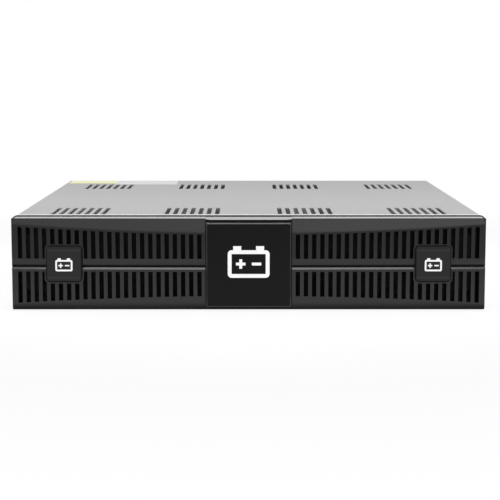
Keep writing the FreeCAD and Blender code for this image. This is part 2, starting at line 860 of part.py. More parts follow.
def badge_cap(side, name):
    """Square cap on a peg, with a slightly raised field across its face."""
    body = new_body(name)
    middle = side * cap_middle
    half = S.cap_size / 2
    face = front_sketch(body, name + "_face", ahead(S.cap_floor))
    rounded(face, middle - half, middle + half, cap_level - half, cap_level + half, S.cap_radius)
    pad(body, face, S.cap_front - S.cap_floor)
    soften(body, "Chamfer", name + "_edge", S.cap_bevel, lambda edge: lies(edge, "Y", ahead(S.cap_front)))
    field = front_sketch(body, name + "_field", ahead(S.cap_front))
    inner = half - S.cap_bevel
    rectangle(field, middle - inner, middle + inner,
              cap_level - S.cap_field / 2, cap_level + S.cap_field / 2)
    pad(body, field, S.cap_field_rise)
    peg = front_sketch(body, name + "_peg", ahead(S.cap_floor - S.peg_length))
    circle(peg, middle, cap_level, S.peg_radius)
    pad(body, peg, S.peg_length)
    return body


# Batteries and what holds them


def battery_tray(side, name):
    """Folded tray for four batteries, with a pull slot in its front."""
    body = new_body(name)
    left = side * tray_middle - tray_width / 2
    right = left + tray_width
    shape = top_sketch(body, name + "_floor", floor_top)
    rectangle(shape, left, right, tray_front, tray_front + tray_depth)
    pad(body, shape, S.tray_rim)
    inside = top_sketch(body, name + "_inside", tray_floor)
    rectangle(inside, left + S.tray_sheet, right - S.tray_sheet,
              tray_front + S.tray_sheet, tray_front + tray_depth - S.tray_sheet)
    pocket(body, inside, S.tray_rim, forward=True)
    pull = front_sketch(body, name + "_pull", tray_front + S.tray_sheet + S.tray_play / 2)
    middle = side * tray_middle
    level = floor_top + S.tray_rim / 2
    rectangle(pull, middle - S.pull_width / 2, middle + S.pull_width / 2,
              level - S.pull_height / 2, level + S.pull_height / 2)
    pocket(body, pull, S.tray_sheet + S.tray_play, forward=True)
    return body


class Cell:
    """Place of one battery: side of the module, column of its tray and row from the front."""

    def __init__(self, side, outer, row):
        self.facing = -side if outer else side
        self.face = side * tray_middle - self.facing * S.channel_width / 2
        self.back = self.face - self.facing * battery_height
        self.front = tray_front + S.tray_sheet + S.tray_play + row * (battery_length + S.tray_play)
        self.rear = self.front + battery_length
        self.front_tab = self.front + S.tab_inset
        self.rear_tab = self.rear - S.tab_inset
        self.plus_tab = self.front_tab if outer else self.rear_tab
        self.minus_tab = self.rear_tab if outer else self.front_tab
        self.wire_x = self.face + self.facing * (S.sleeve_gap + S.sleeve_depth / 2)

    def span(self, from_face, to_face):
        """Left and right ends of a piece that reaches from one distance off the face to another."""
        ends = (self.face + self.facing * from_face, self.face + self.facing * to_face)
        return ends if self.facing > 0 else ends[::-1]


CELLS = [Cell(side, outer, row) for side in (-1, 1) for outer in (True, False) for row in (0, 1)]


def battery(index, cell):
    """Sealed battery lying on its side, its cover turned to the wiring channel."""
    name = "battery_%d" % (index + 1)
    body = new_body(name)
    case = top_sketch(body, name + "_case", tray_floor)
    left, right = cell.span(-battery_height, -S.battery_cover)
    rectangle(case, left, right, cell.front, cell.rear)
    pad(body, case, battery_thick)
    soften(body, "Fillet", name + "_edges", S.battery_radius,
           lambda edge: lies(edge, "X", cell.back))
    cover = top_sketch(body, name + "_cover", tray_floor + S.battery_step)
    left, right = cell.span(-S.battery_cover, ZERO)
    rectangle(cover, left, right, cell.front + S.battery_step, cell.rear - S.battery_step)
    pad(body, cover, battery_thick - 2 * S.battery_step)
    return body


def tab(name, cell, place):
    """Flat terminal of a battery."""
    left, right = cell.span(ZERO, S.tab_length)
    return block(name, left, right, place - S.tab_width / 2, place + S.tab_width / 2,
                 tab_level - S.tab_thick / 2, tab_level + S.tab_thick / 2)


def terminals():
    plus = [tab("plus_tab_%d" % index, cell, cell.plus_tab) for index, cell in enumerate(CELLS)]
    minus = [tab("minus_tab_%d" % index, cell, cell.minus_tab) for index, cell in enumerate(CELLS)]
    sleeves = []
    for index, cell in enumerate(CELLS):
        poles = (("plus", cell.plus_tab, plus[index]), ("minus", cell.minus_tab, minus[index]))
        for name, place, inner in poles:
            left, right = cell.span(S.sleeve_gap, S.sleeve_gap + S.sleeve_depth)
            shell = block("%s_shell_%d" % (name, index), left, right,
                          place - S.sleeve_length / 2, place + S.sleeve_length / 2,
                          tab_level - S.sleeve_thick / 2, tab_level + S.sleeve_thick / 2)
            sleeve = doc.addObject("Part::Cut", "%s_sleeve_%d" % (name, index))
            sleeve.Base = shell
            sleeve.Tool = inner
            sleeves.append(sleeve)
    return [group("positive_terminals", plus), group("negative_terminals", minus),
            group("terminal_sleeves", sleeves)]


def centre_divider():
    """Upturned channel between the two trays."""
    body = new_body("centre_divider")
    section = front_sketch(body, "divider_section", tray_front + tray_depth)
    half = S.divider_width / 2
    inner = half - S.sheet
    top = floor_top + S.divider_height
    outline(section, [
        (-half, floor_top), (-inner, floor_top), (-inner, top - S.sheet), (inner, top - S.sheet),
        (inner, floor_top), (half, floor_top), (half, top), (-half, top),
    ])
    pad(body, section, tray_depth)
    return body


def hold_down_bar(row, name):
    """Hat-shaped bar between a row of batteries and the cover."""
    body = new_body(name)
    cell = Cell(1, True, row)
    middle = (cell.front + cell.rear) / 2
    half = S.bar_width / 2
    section = side_sketch(body, name + "_section", S.seam_gap - wall_in)
    foot = battery_top + S.sheet
    wide = half + S.bar_foot
    inner = half - S.sheet
    outline(section, [
        (middle - wide, battery_top), (middle - inner, battery_top),
        (middle - inner, cover_under - S.sheet), (middle + inner, cover_under - S.sheet),
        (middle + inner, battery_top), (middle + wide, battery_top),
        (middle + wide, foot), (middle + half, foot),
        (middle + half, cover_under), (middle - half, cover_under),
        (middle - half, foot), (middle - wide, foot),
    ])
    pad(body, section, 2 * (wall_in - S.seam_gap))
    return body


# Wiring bay


def rear_partition():
    """Folded wall behind the trays, with windows for the leads."""
    body = new_body("rear_partition")
    half = wall_in - S.seam_gap
    wall = front_sketch(body, "partition_wall", partition + S.sheet)
    rectangle(wall, -half, half, floor_top, battery_top + S.partition_rise)
    pad(body, wall, S.sheet)
    foot = top_sketch(body, "partition_foot", floor_top)
    rectangle(foot, -half, half, partition + S.sheet, partition + S.sheet + S.partition_foot)
    pad(body, foot, S.sheet)
    window = front_sketch(body, "lead_window")
    rectangle(window, tray_middle - S.window_width / 2, tray_middle + S.window_width / 2,
              tab_level - S.window_height / 2, tab_level + S.window_height / 2)
    repeat(body, pocket(body, window), "YZ_Plane")
    return body


def fuse_block():
    """Insulating block with two posts."""
    body = new_body("fuse_block")
    half = S.fuse_span / 2
    level = partition + S.sheet
    seat = front_sketch(body, "fuse_seat", level + S.fuse_base)
    rectangle(seat, -half, half, tab_level - S.fuse_height / 2, tab_level + S.fuse_height / 2)
    pad(body, seat, S.fuse_base)
    post = front_sketch(body, "fuse_post", level + S.fuse_base + S.fuse_depth)
    rectangle(post, half - S.fuse_post, half, tab_level - S.fuse_height / 2, tab_level + S.fuse_height / 2)
    repeat(body, pad(body, post, S.fuse_depth), "YZ_Plane")
    return body


def fuse_link():
    """Cartridge fuse between the posts."""
    body = new_body("fuse_link")
    inner = S.fuse_span / 2 - S.fuse_post
    section = side_sketch(body, "fuse_section", -inner)
    circle(section, fuse_level, tab_level, S.fuse_radius)
    pad(body, section, 2 * inner)
    return body


def dc_connector(side, name):
    """Two-pole socket through the rear panel, screwed on by its flange."""
    body = new_body(name)
    middle = side * S.connector_spacing / 2
    half = S.connector_width / 2
    tall = S.connector_height / 2
    shroud = front_sketch(body, name + "_shroud", rear + S.connector_proud)
    rectangle(shroud, middle - half, middle + half, tab_level - tall, tab_level + tall)
    pad(body, shroud, S.connector_proud + S.connector_inside)
    ear = S.connector_ear
    flange = front_sketch(body, name + "_flange", rear + S.connector_flange)
    rounded(flange, middle - half - ear, middle + half + ear,
            tab_level - tall - ear / 4, tab_level + tall + ear / 4, ear / 4)
    pad(body, flange, S.connector_flange)
    cavity = front_sketch(body, name + "_cavity", rear + S.connector_proud)
    wall = S.connector_wall
    rectangle(cavity, middle - half + wall, middle + half - wall,
              tab_level - tall + wall, tab_level + tall - wall)
    pocket(body, cavity, S.socket_depth, forward=True)
    slits = front_sketch(body, name + "_slits", rear - S.connector_inside)
    for pole in (-1, 1):
        place = middle + pole * S.contact_spacing / 2
        rectangle(slits, place - S.contact_thick / 2, place + S.contact_thick / 2,
                  tab_level - S.contact_height / 2, tab_level + S.contact_height / 2)
    pocket(body, slits, S.connector_inside)
    holes = front_sketch(body, name + "_holes")
    for pole in (-1, 1):
        circle(holes, middle + pole * (half + ear / 2), tab_level, S.screw_radius)
    pocket(body, holes)
    return body


def contact_places():
    """X of the contacts, from the left."""
    half = S.connector_spacing / 2
    pole = S.contact_spacing / 2
    return [-half - pole, -half + pole, half - pole, half + pole]


def connector_contacts():
    """Blades in the sockets, each with a tail for the leads."""
    contacts = []
    for index, place in enumerate(contact_places()):
        left = place - S.contact_thick / 2
        right = place + S.contact_thick / 2
        blade = block("blade_%d" % index, left, right, rear - S.connector_inside, rear,
                      tab_level - S.contact_height / 2, tab_level + S.contact_height / 2)
        tail = block("tail_%d" % index, left, right, tail_end, rear - S.connector_inside,
                     tab_level - S.tail_low, tab_level + S.tail_high)
        contact = doc.addObject("Part::Fuse", "contact_%d" % index)
        contact.Base = blade
        contact.Tool = tail
        contacts.append(contact)
    return group("connector_contacts", contacts)


def rounded_path(points, bend):
    """Wire along straight runs, with a round bend at each inner point."""
    edges = []
    here = points[0]
    for before, corner, after in zip(points, points[1:], points[2:]):
        back = (before - corner).normalize()
        out = (after - corner).normalize()
        half_turn = back.getAngle(out) / 2
        reach = bend / math.tan(half_turn)
        start = corner + back * reach
        end = corner + out * reach
        middle = corner + (back + out).normalize() * (bend / math.sin(half_turn) - bend)
        if (start - here).Length > 0.001:
            edges.append(Part.makeLine(here, start))
        edges.append(Part.Arc(start, middle, end).toShape())
        here = end
    edges.append(Part.makeLine(here, points[-1]))
    return Part.Wire(edges)


def cable(label, route, bend=None):
    """Round lead along a route of places."""
    points = [FreeCAD.Vector(float(x), float(y), float(z)) for x, y, z in route]
    path = rounded_path(points, float(S.wire_bend if bend is None else bend))
    ring = Part.Wire(Part.makeCircle(float(S.wire_radius), points[0], points[1] - points[0]))
    lead = doc.addObject("Part::Feature", label)
    lead.Label = label
    lead.Shape = path.makePipeShell([ring], True, False)
    return lead


def series_links():
    """Short leads that join the batteries of each tray into a chain."""
    links = []
    reach = S.sleeve_length / 2
    for side in (-1, 1):
        columns = [[Cell(side, outer, row) for row in (0, 1)] for outer in (True, False)]
        for ahead_cell, behind_cell in columns:
            links.append(cable("row_link", [
                (ahead_cell.wire_x, ahead_cell.rear_tab + reach, tab_level),
                (ahead_cell.wire_x, behind_cell.front_tab - reach, tab_level),
            ]))
        outer_cell, inner_cell = columns[0][0], columns[1][0]
        bend = S.channel_width / 2 - S.sleeve_gap - S.sleeve_depth / 2
        start = outer_cell.front_tab - reach
        turn = start - 2 * S.sleeve_gap - bend
        links.append(cable("front_link", [
            (outer_cell.wire_x, start, tab_level),
            (outer_cell.wire_x, turn, tab_level),
            (inner_cell.wire_x, turn, tab_level),
            (inner_cell.wire_x, start, tab_level),
        ], bend - S.sleeve_gap))
    return group("series_links", links)


def leads():
    """Leads of the wiring bay, each ending on a sleeve, a fuse post or a contact."""
    reach = S.sleeve_length / 2
    left_outer, left_inner = Cell(-1, True, 1), Cell(-1, False, 1)
    right_outer, right_inner = Cell(1, True, 1), Cell(1, False, 1)
    start = left_outer.rear_tab + reach
    far_left, near_left, near_right, far_right = contact_places()
    half = S.fuse_span / 2
    behind = fuse_level + S.fuse_depth
    low = (tray_floor + tab_level) / 2
    cross = (fuse_level + tail_end) / 2 + S.wire_bend
    upper = tab_level - 3 * S.wire_radius
    lower = tab_level - 5 * S.wire_radius - S.sleeve_gap
    return [
        cable("lead_positive", [
            (left_inner.wire_x, start, tab_level), (left_inner.wire_x, fuse_level, tab_level),
            (-half, fuse_level, tab_level),
        ]),
        cable("lead_bridge", [
            (left_outer.wire_x, start, tab_level), (left_outer.wire_x, behind, tab_level),
            (left_outer.wire_x, behind, low), (right_inner.wire_x, behind, low),
            (right_inner.wire_x, behind, tab_level), (right_inner.wire_x, start, tab_level),
        ]),
        cable("lead_negative", [
            (right_outer.wire_x, start, tab_level), (right_outer.wire_x, cross, tab_level),
            (far_right, cross, tab_level), (far_right, tail_end, tab_level),
        ]),
        cable("lead_fused", [
            (half, fuse_level, tab_level), (near_right, fuse_level, tab_level),
            (near_right, tail_end, tab_level),
        ]),
        cable("jumper_positive", [
            (near_right, tail_end, upper), (near_right, tail_end - 2 * S.wire_bend, upper),
            (far_left, tail_end - 2 * S.wire_bend, upper), (far_left, tail_end, upper),
        ]),
        cable("jumper_negative", [
            (far_right, tail_end, lower), (far_right, tail_end - 2 * S.wire_bend, lower),
            (near_left, tail_end - 2 * S.wire_bend, lower), (near_left, tail_end, lower),
        ]),
    ]


# Fasteners


def cross(sketch, x, y, reach, half):
    """Outline of a cross recess."""
    outline(sketch, [
        (x + reach, y - half), (x + reach, y + half), (x + half, y + half), (x + half, y + reach),
        (x - half, y + reach), (x - half, y + half), (x - reach, y + half), (x - reach, y - half),
        (x - half, y - half), (x - half, y - reach), (x + half, y - reach), (x + half, y - half),
    ])


def screws(name, draw, level, x, y, length, outward, *steps):
    """Equal screws with low cross-recess heads, which lie outward of the level or against its normal."""
    body = new_body(name)
    head = draw(body, name + "_head", level)
    circle(head, x, y, S.screw_head)
    features = [pad(body, head, S.screw_head_thick, reverse=not outward)]
    recess = draw(body, name + "_recess", level)
    cross(recess, x, y, S.screw_head * 0.6, S.screw_head * 0.16)
    features.append(pocket(body, recess, S.screw_head_thick, forward=outward))
    shank = draw(body, name + "_shank", level)
    circle(shank, x, y, S.screw_radius)
    features.append(pad(body, shank, length, reverse=outward))
    repeat(body, features, *steps)
    return body


def flange_screws(name, level, outward):
    """Screws that hold a plate to the flanges of the chassis."""
    return screws(name, front_sketch, level, flange_screw_x, S.flange_screw_low, S.screw_grip, outward,
                  ("Z_Axis", flange_screw_run, 3), "YZ_Plane")


def cover_screws():
    return screws("cover_screws", side_sketch, S.cover_width / 2, front + S.cover_screw_margin,
                  S.chassis_height - S.cover_screw_drop, S.screw_grip, True,
                  ("Y_Axis", S.chassis_depth - 2 * S.cover_screw_margin, 3), "YZ_Plane")


def connector_screws():
    reach = S.connector_width / 2 + S.connector_ear / 2
    return screws("connector_screws", front_sketch, rear + S.connector_flange,
                  S.connector_spacing / 2 - reach, tab_level, S.connector_flange + S.screw_grip, False,
                  ("X_Axis", 2 * reach, 2), "YZ_Plane")


def ground_stud():
    """Earth stud, its head behind the rear panel."""
    body = new_body("ground_stud")
    head = front_sketch(body, "stud_head", rear - S.sheet)
    circle(head, stud_x, S.stud_height, S.stud_head)
    pad(body, head, S.stud_head_thick)
    shaft = front_sketch(body, "stud_shaft", rear - S.sheet)
    circle(shaft, stud_x, S.stud_height, S.stud_radius)
    pad(body, shaft, S.sheet + S.connector_proud, reverse=True)
    return body


def ground_nut():
    body = new_body("ground_nut")
    hexagon = front_sketch(body, "nut_hexagon", rear)
    flat = S.nut_across / 2
    corner = S.nut_across / math.sqrt(3)
    outline(hexagon, [
        (stud_x + corner, S.stud_height), (stud_x + corner / 2, S.stud_height + flat),
        (stud_x - corner / 2, S.stud_height + flat), (stud_x - corner, S.stud_height),
        (stud_x - corner / 2, S.stud_height - flat), (stud_x + corner / 2, S.stud_height - flat),
    ])
    pad(body, hexagon, S.nut_thick, reverse=True)
    hole = front_sketch(body, "nut_hole")
    circle(hole, stud_x, S.stud_height, S.stud_radius)
    pocket(body, hole)
    return body


PIECES = [
    base_chassis(), top_cover(), rear_panel(), front_plate(),
    front_bezel(), centre_panel(), badge_cap(-1, "badge_cap_left"), badge_cap(1, "badge_cap_right"),
    battery_tray(-1, "battery_tray_left"), battery_tray(1, "battery_tray_right"), centre_divider(),
    *[battery(index, cell) for index, cell in enumerate(CELLS)],
    *terminals(),
    hold_down_bar(0, "hold_down_bar_front"), hold_down_bar(1, "hold_down_bar_rear"),
    rear_partition(), fuse_block(), fuse_link(),
    dc_connector(-1, "dc_connector_left"), dc_connector(1, "dc_connector_right"), connector_contacts(),
    series_links(), *leads(),
    flange_screws("front_plate_screws", front, True), flange_screws("rear_panel_screws", rear, False),
    cover_screws(), connector_screws(), ground_stud(), ground_nut(),
]
doc.recompute()

for item in doc.Objects:
    if any(word in item.State for word in ("Invalid", "Error")):
        raise RuntimeError("%s did not compute" % item.Label)
os.makedirs("parts", exist_ok=True)
for piece in PIECES:
    if piece.Shape.isNull() or not piece.Shape.isValid():
        raise RuntimeError("%s has no valid shape" % piece.Label)
    piece.Shape.exportStep("parts/%s.step" % piece.Label)
    print(piece.Label, len(piece.Shape.Solids), piece.Shape.BoundBox)
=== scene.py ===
# %% [markdown]
# # Battery module for an uninterruptible power supply
# The real module is a flat grey steel case with a black moulded front. Its solids were made in a
# CAD program, and this script dresses them. It loads the solids first and keeps their outer box.
# What is added later is only print and thin labels, so the box at the end should hardly differ.

# %% Load the solids
import bmesh
import bpy
import math
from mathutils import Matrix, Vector


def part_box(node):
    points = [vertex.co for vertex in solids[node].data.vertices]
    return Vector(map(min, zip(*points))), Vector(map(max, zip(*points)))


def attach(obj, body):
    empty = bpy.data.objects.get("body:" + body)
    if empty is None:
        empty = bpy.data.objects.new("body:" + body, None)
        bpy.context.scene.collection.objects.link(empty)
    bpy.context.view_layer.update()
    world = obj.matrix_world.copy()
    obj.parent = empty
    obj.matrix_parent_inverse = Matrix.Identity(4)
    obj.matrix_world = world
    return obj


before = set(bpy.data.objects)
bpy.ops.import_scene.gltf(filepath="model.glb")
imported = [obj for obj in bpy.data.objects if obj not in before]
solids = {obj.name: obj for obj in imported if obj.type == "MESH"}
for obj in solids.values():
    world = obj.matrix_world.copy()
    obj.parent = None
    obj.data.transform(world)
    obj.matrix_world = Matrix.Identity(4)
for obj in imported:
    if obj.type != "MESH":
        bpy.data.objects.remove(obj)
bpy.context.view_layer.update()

print("Solids:", len(solids))

# %% [markdown]
# ## Camera
# A product photograph like this is taken with a long lens from a little above the lid. The place
# of the camera could be tried out by eye. Here it was worked out from the way the edges of the
# lid run together, which gives the distance, the height and the tilt in one go.

# %% Camera
MM = 0.001
IMAGE_WIDTH = 500
FOCAL_LENGTH_PX = 1478
SENSOR_WIDTH = 36
CAMERA_DISTANCE = 1389 * MM
CAMERA_HEIGHT = 226 * MM
CAMERA_TILT = math.radians(7.04)
CAMERA_TURN = math.radians(0.053)

case_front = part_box("top_cover")[0].y
lens = bpy.data.cameras.new("photo_camera")
lens.sensor_width = SENSOR_WIDTH
lens.lens = SENSOR_WIDTH * FOCAL_LENGTH_PX / IMAGE_WIDTH
camera = bpy.data.objects.new("photo_camera", lens)
camera.location = (0, case_front - CAMERA_DISTANCE, CAMERA_HEIGHT)
camera.rotation_euler = (math.pi / 2 - CAMERA_TILT, 0, -CAMERA_TURN)
bpy.context.scene.collection.objects.link(camera)
bpy.context.scene.camera = camera
print("Lens in mm:", round(lens.lens, 1))

# %% [markdown]
# ## Sums with sockets
# A shader is a net of nodes, and long sums are hard to read as nodes. This small class wraps a
# socket, so that a sum can be written as Python does it, and each sign adds one Math node. Every
# other node comes from the one method called node, which first sets the node up and then fills
# its sockets.

# %% Signal class


class Signal:
    """An output socket that can be used in sums like a number."""

    def __init__(self, tree, socket=None):
        self.tree = tree
        self.socket = socket

    def node(self, kind, settings=None, inputs=None, output=0):
        """Adds a node, sets it up, fills its sockets and gives one of its outputs."""
        made = self.tree.nodes.new(kind)
        for name, value in (settings or {}).items():
            setattr(made, name, value)
        for name, value in (inputs or {}).items():
            self.feed(made.inputs[name], value)
        return Signal(self.tree, made.outputs[output])

    def feed(self, socket, value):
        """Links a signal to a socket, or sets the socket to a plain value."""
        if isinstance(value, Signal):
            self.tree.links.new(value.socket, socket)
        else:
            socket.default_value = value

    def math(self, operation, first, second=0.0):
        """A Math node on one value or two."""
        return self.node("ShaderNodeMath", {"operation": operation}, {0: first, 1: second})

    def __add__(self, other):
        return self.math("ADD", self, other)

    def __radd__(self, other):
        return self.math("ADD", other, self)

    def __sub__(self, other):
        return self.math("SUBTRACT", self, other)

    def __rsub__(self, other):
        return self.math("SUBTRACT", other, self)

    def __mul__(self, other):
        return self.math("MULTIPLY", self, other)

    def __rmul__(self, other):
        return self.math("MULTIPLY", other, self)

    def __abs__(self):
        return self.math("ABSOLUTE", self)

    def __gt__(self, other):
        return self.math("GREATER_THAN", self, other)

    def __lt__(self, other):
        return self.math("LESS_THAN", self, other)

    def larger(self, other):
        """The larger of two values. On masks it gives the places where either is 1."""
        return self.math("MAXIMUM", self, other)

    def smaller(self, other):
        """The smaller of two values."""
        return self.math("MINIMUM", self, other)

    def axis(self, letter):
        """One coordinate of a vector."""
        return self.node("ShaderNodeSeparateXYZ", None, {"Vector": self}, letter)

    def axes(self):
        """All three coordinates of a vector."""
        return [self.axis(letter) for letter in "XYZ"]

    def stretched(self, x, y, z):
        """The vector with each coordinate multiplied."""
        factors = {0: self, 1: (x, y, z)}
        return self.node("ShaderNodeVectorMath", {"operation": "MULTIPLY"}, factors)

    def noise(self, grain, detail=2.0):
        """Soft noise over a vector, with grains of about the given size in metres."""
        inputs = {"Vector": self, "Scale": 1 / grain, "Detail": detail}
        return self.node("ShaderNodeTexNoise", None, inputs, "Fac")

    def spangle(self, grain):
        """A random grey for each crystal of about the given size."""
        inputs = {"Vector": self, "Scale": 1 / grain}
        return self.node("ShaderNodeTexVoronoi", None, inputs, "Color").axis("X")

    def between(self, dark, light):
        """A colour between two others, by this signal."""
        inputs = {"Factor": self, 6: dark, 7: light}
        return self.node("ShaderNodeMix", {"data_type": "RGBA"}, inputs, 2)

    def eased(self, low, high, start=0.0, end=1.0):
        """The signal turned from one range to another, without passing its ends."""
        span = {"Value": self, "From Min": low, "From Max": high, "To Min": start, "To Max": end}
        return self.node("ShaderNodeMapRange", {"interpolation_type": "SMOOTHSTEP"}, span)

    def bump(self, depth):
        """A surface normal that rises by depth metres where the signal is 1."""
        inputs = {"Height": self, "Distance": depth, "Strength": 1.0}
        return self.node("ShaderNodeBump", None, inputs)


print("Signal is ready")

# %% [markdown]
# ## Studio
# The picture has a white ground and very soft light. A room of white walls could be built, but a
# world whose strength changes with the direction does the same with less noise. It is brightest
# behind the module, a little above the horizon, as in front of a white backdrop, and it has one
# soft patch of light in front on the right.

# %% World light
# Each pair is a range of the direction's height or depth, which both run from -1 to 1.
FRONT_LOW = 0.8
FRONT_HIGH = 1.0
FRONT_RISE = (0.1, 0.6)
BACK_LOW = 1.35
BACK_PEAK = 2.0
BACK_RISE = (0.15, 0.35)
BACK_FADE = 0.25
BACK_FALL = (0.4, 0.75)
FRONT_TO_BACK = (-0.6, 0.4)
KEY_PLACE = Vector((0.45, -0.7, 0.6)).normalized()
KEY_LIGHT = 0.75
KEY_REACH = 0.8

world = bpy.data.worlds.new("studio")
bpy.context.scene.world = world
world.use_nodes = True
sky = Signal(world.node_tree)
direction = sky.node("ShaderNodeTexCoord", None, None, "Generated")
height = direction.axis("Z")
front_light = height.eased(*FRONT_RISE, FRONT_LOW, FRONT_HIGH)
back_light = height.eased(*BACK_RISE, BACK_LOW, BACK_PEAK)
back_light = back_light * height.eased(*BACK_FALL, 1.0, BACK_FADE)
backness = direction.axis("Y").eased(*FRONT_TO_BACK)
pair = {0: direction, 1: KEY_PLACE}
facing = sky.node("ShaderNodeVectorMath", {"operation": "DOT_PRODUCT"}, pair, "Value")
key_light = facing.eased(KEY_REACH, 1.0, 0.0, KEY_LIGHT)
room_light = front_light + backness * (back_light - front_light) + key_light
print("Light from behind is", BACK_PEAK / FRONT_HIGH, "times the light from in front")

# %% [markdown]
# Straight from the camera the world has to be plain white, whatever light it gives to the module.
# A white wall far behind would do that too, but it would need lamps of its own.

# %% World
WHITE = (1.0, 1.0, 1.0, 1.0)

seen_directly = sky.node("ShaderNodeLightPath", None, None, "Is Camera Ray")
strength = seen_directly + (1 - seen_directly) * room_light
background = world.node_tree.nodes["Background"]
sky.feed(background.inputs["Color"], WHITE)
sky.feed(background.inputs["Strength"], strength)
bpy.context.scene.view_settings.view_transform = "Standard"
print("World nodes:", len(world.node_tree.nodes))

# %% [markdown]
# The floor is a real plane, so that the module throws a soft shadow on it. It would look grey if
# only the lamp and the world lit it. Rays that come straight from the camera therefore see most
# of it as plain white, and the rest is matt paper that keeps the shadow. The paper is paler close
# to the module, a painted pool of light. Glossy surfaces see a part of that white, the most of it
# close to the module, and a painted shadow line right under the front, where the foot meets the
# paper.

# %% Floor paint
# Each pair is a range of the distance in metres from the middle of the module.
PAPER_NEAR = 0.85
PAPER_FAR = 0.45
PAPER_SPAN = (0.3, 0.6)
GLOW_NEAR = 0.88
GLOW_FAR = 1.0
GLOW_SPAN = (0.4, 0.9)
MIRROR_NEAR = 0.8
MIRROR_FAR = 0.3
MIRROR_SPAN = (0.27, 0.36)
FOOT_SHADE = 0.9
FOOT_REACH = 12 * MM
FOOT_OUT = 18 * MM

floor_paint = bpy.data.materials.new("white_floor")
floor_paint.use_nodes = True
floor_paint.node_tree.nodes.clear()
ground = Signal(floor_paint.node_tree)
spot = ground.node("ShaderNodeTexCoord", None, None, "Object")
away = ground.node("ShaderNodeVectorMath", {"operation": "LENGTH"}, {0: spot}, "Value")
# Painted pool of light: the paper is paler close to the module.
paper_light_pool = away.eased(*PAPER_SPAN, PAPER_NEAR, PAPER_FAR)
whiteness = away.eased(*GLOW_SPAN, GLOW_NEAR, GLOW_FAR)
mirror_glow = away.eased(*MIRROR_SPAN, MIRROR_NEAR, MIRROR_FAR)
rays = ["Is Camera Ray", "Is Glossy Ray", "Is Transmission Ray"]
direct, glossy, through = [ground.node("ShaderNodeLightPath", None, None, ray) for ray in rays]
mirrored = glossy + through
seen = (direct + mirror_glow * mirrored).smaller(1.0) * whiteness
foot_line = case_front - FOOT_OUT
# Painted shadow: in mirrors the paper just in front of the foot is darkened.
foot = spot.axis("Y").eased(foot_line - FOOT_REACH, foot_line)
shaded = 1 - FOOT_SHADE * mirrored * foot
matt = ground.node("ShaderNodeBsdfDiffuse", None, {"Color": paper_light_pool * shaded})
glow = ground.node("ShaderNodeEmission", None, {"Color": WHITE, "Strength": shaded})
mixed = ground.node("ShaderNodeMixShader", None, {0: seen, 1: matt, 2: glow})
output = ground.tree.nodes.new("ShaderNodeOutputMaterial")
ground.feed(output.inputs["Surface"], mixed)
print("Floor nodes:", len(ground.tree.nodes))

# %% [markdown]
# The plane itself is one large square. The helper that makes an object of it will serve for the
# printed signs and the labels too.

# %% Floor
FLOOR_REACH = 8.0


def shown_piece(name, mesh, material):
    """Turns a bmesh into an object with a material and links it to the scene."""
    data = bpy.data.meshes.new(name)
    mesh.to_mesh(data)
    mesh.free()
    piece = bpy.data.objects.new(name, data)
    piece.data.materials.append(material)
    bpy.context.scene.collection.objects.link(piece)
    return piece


slab = bmesh.new()
bmesh.ops.create_grid(slab, x_segments=1, y_segments=1, size=FLOOR_REACH)
floor = shown_piece("floor", slab, floor_paint)
print("Floor reach in metres:", FLOOR_REACH)

# %% [markdown]
# One wide lamp hangs high over the module, a little in front of it. Several small lamps could
# light it too, but each would throw a shadow of its own. This one gives the lid its even tone and
# draws the bright lines on the bend at the lid's front, on the ledge across the grille and on the
# panel's upper edge.

# %% Lamp
LAMP_WIDTH = 1.5
LAMP_POWER = 34
LAMP_PLACE = Vector((0.0, -0.55, 3.0))

softbox = bpy.data.lights.new("softbox", "AREA")
softbox.shape = "SQUARE"
softbox.size = LAMP_WIDTH
softbox.energy = LAMP_POWER
lamp = bpy.data.objects.new("softbox", softbox)
lamp.location = LAMP_PLACE
bpy.context.scene.collection.objects.link(lamp)
print("Lamp height in metres:", LAMP_PLACE.z)

# %% [markdown]
# ## Finishes
# Each finish is a function that takes the place on the surface and gives what goes into the
# shader. The helper below makes the material and links that up. All patterns read Object
# coordinates in metres, so their grain has a real size.

# %% Finish helpers


def finish(name, pattern):
    """Makes a material from a pattern, which turns the place on a surface into shader inputs."""
    material = bpy.data.materials.new(name)
    material.use_nodes = True
    tree = material.node_tree
    shader = tree.nodes["Principled BSDF"]
    place = Signal(tree).node("ShaderNodeTexCoord", None, None, "Object")
    for socket, value in pattern(place).items():
        place.feed(shader.inputs[socket], value)
    return material


def grey(level, blue=1.0):
    """A neutral colour, with its blue part multiplied."""
    return (level, level, level * blue, 1.0)


def dress(material, *names):
    """Gives solids a material in place of the plain one they came with."""
    for name in names:
        solids[name].data.materials.clear()
        solids[name].data.materials.append(material)
    print(material.name, "on", len(names), "solids")


print("Finish helpers are ready")

# %% [markdown]
# The steel case has a light grey powder coat. Powder melts into a skin with a faint orange peel,
# a bump with grains of a millimetre or two. One flat colour would look like card, so the tone
# drifts a little over the wide sheet, and towards the rear it is darkened as painted shade. On
# the tight bend at the lid's front the skin is pulled smooth, so a mask gives a fine line there a
# glossy coat, and a paler tone that is a painted highlight. The picture shows grey, not black, in
# the slots of the lid. The inner faces are therefore taken as pale primer, found by a box that
# lies just within the sheet.

# %% Case paint
PAINT_DARK = grey(0.255, 1.01)
PAINT_LIGHT = grey(0.295, 1.02)
PAINT_REAR_SHADE = grey(0.225, 1.01)
PRIMER = grey(0.85)
FOLD_HIGHLIGHT = grey(0.85)
FOLD_DEPTH = 1.5 * MM
FOLD_HEIGHT = 0.3 * MM
REAR_SHADE_FROM = -100 * MM
SHEET = 1.1 * MM
INNER_HALF = 216.5 * MM
INNER_REAR = 219.9 * MM
lid_low, lid_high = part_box("top_cover")


